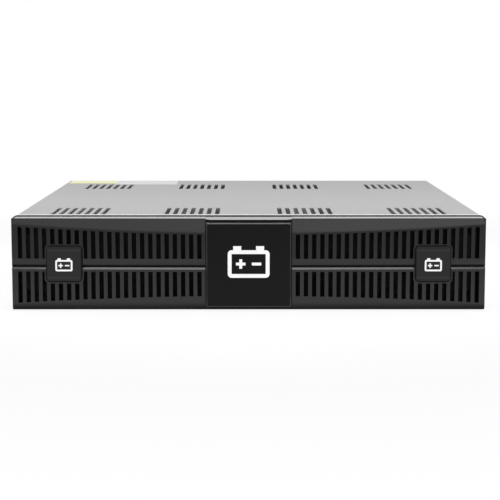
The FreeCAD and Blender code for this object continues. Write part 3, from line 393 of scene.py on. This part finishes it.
def case_coat(place):
    """Grey coat, painted rear shade, pale primer inside, glossy bend with painted highlight."""
    drift = place.noise(90 * MM)
    speckle = place.noise(0.7 * MM)
    peel = place.noise(1.6 * MM)
    x, y, z = place.axes()
    fold = (y < lid_low.y + FOLD_DEPTH) * (z > lid_high.z - FOLD_HEIGHT)
    inside = (abs(x) < INNER_HALF) * (y > lid_low.y + 2 * SHEET) * (y < INNER_REAR)
    inside = inside * (z > SHEET) * (z < lid_high.z - SHEET)
    paint = (drift * 0.7 + speckle * 0.3).between(PAINT_DARK, PAINT_LIGHT)
    # Towards the rear the paint is darkened, as painted shade.
    paint = y.eased(REAR_SHADE_FROM, lid_high.y).between(paint, PAINT_REAR_SHADE)
    paint = inside.between(paint, PRIMER)
    return {
        # The paler tone on the bend is a painted highlight; the coat gives real gloss.
        "Base Color": fold.between(paint, FOLD_HIGHLIGHT),
        "Roughness": 0.46 + 0.12 * peel,
        "Normal": peel.bump(0.012 * MM),
        "Specular IOR Level": 0.26,
        "Coat Weight": fold,
        "Coat Roughness": 0.1,
        "Coat IOR": 1.8,
    }


dress(finish("case_paint", case_coat), "base_chassis", "top_cover", "rear_panel")

# %% [markdown]
# The plate behind the grille is coated too, in a matt dark grey, so that little of it shows
# between the ribs. Pure black would look like a hole, so the coat keeps some tone and a fine
# peel.

# %% Plate paint


def plate_coat(place):
    """Matt dark powder coat."""
    peel = place.noise(1.2 * MM)
    drift = place.noise(40 * MM)
    return {
        "Base Color": drift.between(grey(0.03), grey(0.045)),
        "Roughness": 0.6 + 0.2 * peel,
        "Normal": peel.bump(0.015 * MM),
        "Specular IOR Level": 0.3,
    }


dress(finish("plate_paint", plate_coat), "front_plate")

# %% [markdown]
# The front is moulded in plastic, and so are the connectors, the fuse block and the batteries.
# Their moulds were etched, which leaves a fine even grain and makes the gloss soft. Flat black
# would swallow the form of the ribs, so the grain also moves the roughness. One pattern serves
# them all in different tones.

# %% Moulded plastics
ROUGHNESS_SWING = 0.12
PLASTIC_BLUE = 1.05


def etched_plastic(dark, light, roughness, depth, specular):
    """A moulded plastic with an etched grain of the given depth."""

    def pattern(place):
        grain = place.noise(0.35 * MM, detail=3.0)
        drift = place.noise(60 * MM)
        return {
            "Base Color": drift.between(grey(dark, PLASTIC_BLUE), grey(light, PLASTIC_BLUE)),
            "Roughness": roughness - ROUGHNESS_SWING / 2 + ROUGHNESS_SWING * grain,
            "Normal": grain.bump(depth),
            "Specular IOR Level": specular,
        }

    return pattern


connector_look = etched_plastic(0.020, 0.030, roughness=0.45, depth=0.010 * MM, specular=0.5)
fuse_look = etched_plastic(0.018, 0.024, roughness=0.50, depth=0.012 * MM, specular=0.5)
battery_look = etched_plastic(0.48, 0.54, roughness=0.48, depth=0.012 * MM, specular=0.5)
batteries = ["battery_%d" % number for number in range(1, 9)]
dress(finish("connector_plastic", connector_look), "dc_connector_left", "dc_connector_right")
dress(finish("fuse_plastic", fuse_look), "fuse_block")
dress(finish("battery_case", battery_look), *batteries)

# %% [markdown]
# On the bezel only a strip along the crown shines in the picture, so masks make the crown's two
# ends, its root at the lid and its lip dull. They could be three materials, but the bezel is one
# solid with one slot, and a mask is easy to move. One more mask darkens the upper ribs under the
# arch of the visor: painted shade of the visor.

# %% Bezel
BEZEL_DULL = 0.7
END_LENGTH = 2.2 * MM
ROOT_DEPTH = 5.1 * MM
CROWN_HEIGHT = 4 * MM
LIP_DEPTH = 18.8 * MM
LIP_END_DEPTH = 17 * MM
LIP_BEND_FROM = 0.25
LIP_HEIGHT = 1.65 * MM
RIB_PAINTED_SHADE = grey(0.003)
BAR_LEVEL = 49 * MM
VISOR_DROP = 13 * MM
VISOR_ARCH = 8 * MM


def bezel_finish(place):
    """Black plastic, a dull edge round the shiny crown, painted shade on the upper ribs."""
    look = etched_plastic(0.010, 0.013, roughness=0.20, depth=0.003 * MM, specular=0.42)
    inputs = look(place)
    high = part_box("front_bezel")[1]
    x, y, z = place.axes()
    crown = z > high.z - CROWN_HEIGHT
    end = crown * (abs(x) > high.x - END_LENGTH)
    root = crown * (y > case_front - ROOT_DEPTH)
    lip_depth = abs(x).eased(high.x * LIP_BEND_FROM, high.x, LIP_DEPTH, LIP_END_DEPTH)
    lip = (y < case_front - lip_depth) * (z > high.z - LIP_HEIGHT)
    inputs["Roughness"] = inputs["Roughness"] + BEZEL_DULL * end.larger(root).larger(lip)
    # Painted shade: the ribs between the bar and the visor's arch are darkened.
    visor = high.z - VISOR_DROP + VISOR_ARCH / high.x ** 2 * (x * x)
    upper = (z > BAR_LEVEL) * (z < visor)
    inputs["Base Color"] = upper.between(inputs["Base Color"], RIB_PAINTED_SHADE)
    return inputs


dress(finish("bezel_plastic", bezel_finish), "front_bezel")

# %% [markdown]
# The square panel and the two square caps are moulded alike, but their chamfers differ. On the
# panel the inner part of the chamfer was polished, so it gets a thin glossy coat, and its lighter
# tone is a painted highlight, with a dark rim outside it. On the caps the chamfer is dull and is
# darkened as painted shade of the gap round the cap, and paler lines along the upper and lower
# edges of the raised field are painted highlights. A chamfer could be a material of its own, but
# the solids have one slot each, so it is found by its distance from the middle of the square.

# %% Panel and caps
CHAMFER = 0.9 * MM
PANEL_RIM = 0.3 * MM
CHAMFER_HIGHLIGHT = grey(0.04)
CAP_CHAMFER_SHADE = grey(0.002)
CAP_CHAMFER_DULL = 0.4
FIELD_EDGE_HIGHLIGHT = grey(0.03)
FIELD_HALF = 12.75 * MM
FIELD_LINE = 0.8 * MM


def rim_of(solid, place, width):
    """A mask that is 1 near the outline of a square solid, or of one of a pair left and right."""
    low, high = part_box(solid)
    middle = (low + high) / 2
    across = abs(abs(place.axis("X")) - abs(middle.x))
    upright = abs(place.axis("Z") - middle.z)
    return across.larger(upright) > (high.x - low.x) / 2 - width


def panel_finish(place):
    """Black satin plastic with a glossy coat and a painted highlight on its chamfer."""
    look = etched_plastic(0.003, 0.0045, roughness=0.30, depth=0.003 * MM, specular=0.14)
    inputs = look(place)
    line = rim_of("centre_panel", place, CHAMFER) - rim_of("centre_panel", place, PANEL_RIM)
    # The lighter tone on the chamfer is a painted highlight; the coat gives real gloss.
    inputs["Base Color"] = line.between(inputs["Base Color"], CHAMFER_HIGHLIGHT)
    inputs["Coat Weight"] = 0.45 * line
    inputs["Coat Roughness"] = 0.25
    return inputs


def cap_finish(place):
    """Black satin plastic, a dull chamfer in painted shade, two painted highlight lines."""
    look = etched_plastic(0.008, 0.011, roughness=0.34, depth=0.004 * MM, specular=0.3)
    inputs = look(place)
    chamfer = rim_of("badge_cap_left", place, CHAMFER)
    low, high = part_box("badge_cap_left")
    upright = abs(place.axis("Z") - (low.z + high.z) / 2)
    field_edge = abs(upright - FIELD_HALF) < FIELD_LINE / 2
    # Painted highlights: paler lines along the upper and lower edges of the field.
    face = field_edge.between(inputs["Base Color"], FIELD_EDGE_HIGHLIGHT)
    # Painted shade: the chamfer round the cap is darkened.
    inputs["Base Color"] = chamfer.between(face, CAP_CHAMFER_SHADE)
    inputs["Roughness"] = inputs["Roughness"] + CAP_CHAMFER_DULL * chamfer
    return inputs


dress(finish("panel_plastic", panel_finish), "centre_panel")
dress(finish("cap_plastic", cap_finish), "badge_cap_left", "badge_cap_right")

# %% [markdown]
# The trays, the bars and the partition are bent from zinc-coated sheet. The zinc freezes in flat
# crystals, and each of them shines a little differently. They could be drawn one by one, but a
# Voronoi texture already splits a surface into cells with a random tone each.

# %% Zinc-coated sheet


def zinc_sheet(place):
    """Galvanised steel with crystals and fine scratches."""
    crystal = place.spangle(9 * MM)
    scratch = place.stretched(1.0, 0.06, 1.0).noise(0.5 * MM)
    return {
        "Base Color": crystal.between(grey(0.52, 1.02), grey(0.66, 1.03)),
        "Metallic": 1.0,
        "Roughness": 0.30 + 0.14 * crystal + 0.08 * scratch,
        "Normal": scratch.bump(0.002 * MM),
    }


dress(finish("galvanised", zinc_sheet), "battery_tray_left", "battery_tray_right",
      "centre_divider", "hold_down_bar_front", "hold_down_bar_rear", "rear_partition")

# %% [markdown]
# Screws, tabs and contacts are plated metals. Plating follows the drawing marks of the metal
# under it. A brushed look could come from an anisotropic shader. A noise that is drawn out along
# one direction is plainer, and it moves the roughness as the marks do.

# %% Plated metals


def plated(dark, light, roughness):
    """A plated metal with faint drawing marks."""

    def pattern(place):
        marks = place.stretched(0.12, 1.0, 1.0).noise(0.25 * MM)
        cloud = place.noise(3 * MM)
        return {
            "Base Color": cloud.between(dark, light),
            "Metallic": 1.0,
            "Roughness": roughness + 0.15 * marks,
            "Normal": marks.bump(0.003 * MM),
        }

    return pattern


zinc_look = plated(grey(0.50, 1.03), grey(0.62, 1.03), roughness=0.24)
black_look = plated(grey(0.010), grey(0.016), roughness=0.42)
tin_look = plated(grey(0.60, 0.98), grey(0.72, 0.97), roughness=0.28)
brass_look = plated((0.62, 0.44, 0.20, 1.0), (0.75, 0.56, 0.29, 1.0), roughness=0.26)
dress(finish("screw_steel", zinc_look), "rear_panel_screws", "cover_screws", "connector_screws",
      "ground_stud", "ground_nut")
dress(finish("black_zinc", black_look), "front_plate_screws")
dress(finish("tinned_metal", tin_look), "positive_terminals", "negative_terminals")
dress(finish("contact_metal", brass_look), "connector_contacts")

# %% [markdown]
# The leads have a soft plastic sheath, and its skin is never quite even. A smooth tube would look
# like glass, so a fine ripple goes into the bump and the roughness. Nylon sleeves cover the tabs,
# and they use the same pattern in a pale tone.

# %% Sheaths and sleeves


def sheath(dark, light):
    """A soft cable sheath."""

    def pattern(place):
        ripple = place.noise(1.1 * MM)
        cloud = place.noise(14 * MM)
        return {
            "Base Color": cloud.between(dark, light),
            "Roughness": 0.42 + 0.16 * ripple,
            "Normal": ripple.bump(0.02 * MM),
        }

    return pattern


red_look = sheath((0.36, 0.015, 0.012, 1.0), (0.46, 0.025, 0.02, 1.0))
dark_look = sheath(grey(0.014), grey(0.024))
nylon_look = sheath((0.60, 0.58, 0.52, 1.0), (0.70, 0.68, 0.62, 1.0))
dress(finish("red_sheath", red_look), "lead_positive", "lead_fused", "jumper_positive")
dress(finish("black_sheath", dark_look), "series_links", "lead_bridge", "lead_negative",
      "jumper_negative")
dress(finish("sleeve_plastic", nylon_look), "terminal_sleeves")

# %% [markdown]
# The fuse is a glazed ceramic tube with a metal cap on each end. The two are one solid, so the
# caps are a mask along the tube, taken from the solid's own ends.

# %% Fuse
FUSE_CAP = 12 * MM
fuse_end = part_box("fuse_link")[1].x


def fuse_tube(place):
    """Glazed ceramic with metal ends."""
    cap = abs(place.axis("X")) > fuse_end - FUSE_CAP
    glaze = place.noise(6 * MM)
    ceramic = glaze.between((0.66, 0.62, 0.54, 1.0), (0.74, 0.71, 0.64, 1.0))
    return {
        "Base Color": cap.between(ceramic, grey(0.6)),
        "Metallic": cap,
        "Roughness": 0.22 + 0.1 * glaze + 0.08 * cap,
        "Normal": glaze.bump(0.02 * MM),
    }


dress(finish("fuse_body", fuse_tube), "fuse_link")

# %% [markdown]
# ## Printed battery signs
# A plain battery sign is printed in white on the centre panel, and a small one on each cap. It is
# put together from flat shapes. An inset of a rounded face would round the inner corners of the
# frame too, so the frame is built corner by corner. The plus grows out of one square by
# extrusion.

# %% Sign shapes
CORNER_STEPS = 6


def flat_face(mesh, left, right, low, high):
    """One upright face towards the viewer, in metres round the sign's middle."""
    corners = [(left, low), (right, low), (right, high), (left, high)]
    return mesh.faces.new([mesh.verts.new((x, 0, z)) for x, z in corners])


def outline_frame(mesh, right, high, radius, line):
    """A frame with round outer corners and square inner ones, made corner by corner."""
    arcs = []
    inners = []
    for number, (x_side, z_side) in enumerate([(1, 1), (-1, 1), (-1, -1), (1, -1)]):
        inners.append(mesh.verts.new((x_side * (right - line), 0, z_side * (high - line))))
        middle = Vector((x_side * (right - radius), 0, z_side * (high - radius)))
        arc = []
        for step in range(CORNER_STEPS + 1):
            turn = math.pi / 2 * (number + step / CORNER_STEPS)
            out = Vector((math.cos(turn), 0, math.sin(turn)))
            arc.append(mesh.verts.new(middle + radius * out))
        for first, second in zip(arc, arc[1:]):
            mesh.faces.new((inners[-1], first, second))
        arcs.append(arc)
    for number, arc in enumerate(arcs):
        before = number - 1
        mesh.faces.new((inners[before], arcs[before][-1], arc[0], inners[number]))


def plus_shape(mesh, x, z, reach, half):
    """A plus, grown from its middle square."""
    middle = flat_face(mesh, x - half, x + half, z - half, z + half)
    for edge in list(middle.edges):
        outward = (edge.verts[0].co + edge.verts[1].co) / 2 - Vector((x, 0, z))
        arm = bmesh.ops.extrude_edge_only(mesh, edges=[edge])
        tips = [item for item in arm["geom"] if isinstance(item, bmesh.types.BMVert)]
        bmesh.ops.translate(mesh, verts=tips, vec=outward.normalized() * (reach - half))


print("A round corner has", CORNER_STEPS, "steps")

# %% [markdown]
# The sign is drawn once with the sizes of the large print. The small ones are the same drawing
# scaled down, with a bolder line and larger marks, as small print needs.

# %% Sign drawing
SIGN_WIDTH = 38.9 * MM
SIGN_HEIGHT = 25.9 * MM
SIGN_LINE = 3.6 * MM
SIGN_CORNER = 3.6 * MM
POLE_WIDTH = 7.5 * MM
POLE_HEIGHT = 3.8 * MM
POLE_INSET = 5.1 * MM
MARK_REACH = 4.4 * MM
MARK_HALF = 1.35 * MM
MARK_OUT = 7.35 * MM


def sign_shapes(mesh, line, marks):
    """The flat shapes of the sign round its middle, with its line and its marks made larger."""
    half = SIGN_WIDTH / 2
    top = SIGN_HEIGHT / 2
    reach = MARK_REACH * marks
    stroke = MARK_HALF * marks
    outline_frame(mesh, half, top, SIGN_CORNER, SIGN_LINE * line)
    for side in (-1, 1):
        middle = side * (half - POLE_INSET - POLE_WIDTH / 2)
        flat_face(mesh, middle - POLE_WIDTH / 2, middle + POLE_WIDTH / 2, top, top + POLE_HEIGHT)
    plus_shape(mesh, -MARK_OUT, 0, reach, stroke)
    flat_face(mesh, MARK_OUT - reach, MARK_OUT + reach, -stroke, stroke)


print("Sign in mm:", round(SIGN_WIDTH / MM, 1), "by", round(SIGN_HEIGHT / MM, 1))

# %% [markdown]
# A print is a very thin layer of ink. It could be a patch in the plastic's colour, but real ink
# has an edge, so the flat shapes are raised by a few hundredths of a millimetre. The back of a
# sign lies on the face that carries it.

# %% Ink
INK = 0.04 * MM


def ink_print(place):
    """White ink with a slightly uneven cover."""
    cover = place.noise(0.5 * MM)
    cloud = place.noise(8 * MM)
    return {
        "Base Color": cloud.between(grey(0.92), grey(0.96)),
        "Roughness": 0.42 + 0.1 * cover,
        "Normal": cover.bump(0.004 * MM),
    }


def raise_faces(mesh, rise):
    """Gives flat faces a thickness by extruding them along a vector."""
    made = bmesh.ops.extrude_face_region(mesh, geom=mesh.faces[:])
    moved = [item for item in made["geom"] if isinstance(item, bmesh.types.BMVert)]
    bmesh.ops.translate(mesh, verts=moved, vec=rise)
    bmesh.ops.recalc_face_normals(mesh, faces=mesh.faces[:])


def print_sign(name, middle, scale=1.0, line=1.0, marks=1.0):
    """Prints a sign whose back lies at the middle point."""
    mesh = bmesh.new()
    sign_shapes(mesh, line, marks)
    bmesh.ops.scale(mesh, vec=(scale, 1, scale), verts=mesh.verts[:])
    bmesh.ops.recalc_face_normals(mesh, faces=mesh.faces[:])
    raise_faces(mesh, (0, -INK, 0))
    bmesh.ops.translate(mesh, verts=mesh.verts[:], vec=middle)
    sign = shown_piece(name, mesh, white_ink)
    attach(sign, "root")
    print(name, "has", len(sign.data.polygons), "faces")


white_ink = finish("white_ink", ink_print)
print("Ink thickness in mm:", INK / MM)

# %% [markdown]
# Each sign is placed from the box of the solid that carries it. On the panel it sits a little
# above the middle, and on the caps a little below it.

# %% Signs on the panel and the caps
SIGN_RISE = 1.2 * MM
SMALL_DROP = 1.3 * MM
SMALL_SIGN = 0.41
SMALL_LINE = 1.08
SMALL_MARKS = 1.15

low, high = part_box("centre_panel")
panel_middle = Vector((0, low.y, (low.z + high.z) / 2 + SIGN_RISE))
print_sign("panel_sign", panel_middle)
for cap in ("badge_cap_left", "badge_cap_right"):
    low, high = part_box(cap)
    cap_middle = Vector(((low.x + high.x) / 2, low.y, (low.z + high.z) / 2 - SMALL_DROP))
    sign_name = cap.replace("badge_cap", "cap_sign")
    print_sign(sign_name, cap_middle, SMALL_SIGN, SMALL_LINE, SMALL_MARKS)

# %% [markdown]
# ## Paper labels on the lid
# Two labels lie on the rear left of the lid, a yellow one near the corner and a pale one beside
# it. They stay blank. A label could be a patch in the paint, but a thin sheet with round corners
# also has an edge, so it is one face that is bevelled and raised.

# %% Label sheets
PAPER = 0.06 * MM
LABEL_CORNER = 2 * MM
LABEL_CORNER_STEPS = 5


def paper(dark, light):
    """Label stock with a faint fibre."""

    def pattern(place):
        fibre = place.stretched(1.0, 0.3, 1.0).noise(0.6 * MM)
        cloud = place.noise(25 * MM)
        return {
            "Base Color": (cloud * 0.6 + fibre * 0.4).between(dark, light),
            "Roughness": 0.48 + 0.1 * fibre,
            "Normal": fibre.bump(0.006 * MM),
            "Specular IOR Level": 0.3,
        }

    return pattern


def label(name, left, right, front, rear, stock):
    """A label on top of the lid."""
    mesh = bmesh.new()
    corners = [(left, front), (right, front), (right, rear), (left, rear)]
    mesh.faces.new([mesh.verts.new((x, y, lid_high.z)) for x, y in corners])
    bmesh.ops.bevel(mesh, geom=mesh.verts[:], offset=LABEL_CORNER, affect="VERTICES",
                    segments=LABEL_CORNER_STEPS, profile=0.5, material=-1)
    raise_faces(mesh, (0, 0, PAPER))
    sheet = shown_piece(name, mesh, stock)
    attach(sheet, "root")
    print(name, "is", round((right - left) / MM), "by", round((rear - front) / MM), "mm")


print("Paper thickness in mm:", PAPER / MM)

# %% [markdown]
# The labels are placed from the lid's rear left corner. They are seen at a very flat angle in the
# picture, so their widths are measured and their lengths are a guess.

# %% Labels
LABEL_EDGE = 1.6 * MM
LABEL_SIDE = 3.6 * MM
YELLOW_WIDTH = 57 * MM
YELLOW_LENGTH = 43 * MM
WHITE_WIDTH = 72.5 * MM
WHITE_LENGTH = 59 * MM

yellow_paper = finish("yellow_paper", paper((0.52, 0.515, 0.265, 1.0), (0.57, 0.565, 0.315, 1.0)))
white_paper = finish("white_paper", paper(grey(0.40), grey(0.47)))
yellow_left = lid_low.x + LABEL_SIDE
white_left = yellow_left + YELLOW_WIDTH
white_right = white_left + WHITE_WIDTH
rear = lid_high.y - LABEL_EDGE
label("lid_label_yellow", yellow_left, white_left, lid_high.y - YELLOW_LENGTH, rear, yellow_paper)
label("lid_label_white", white_left, white_right, lid_high.y - WHITE_LENGTH, rear, white_paper)
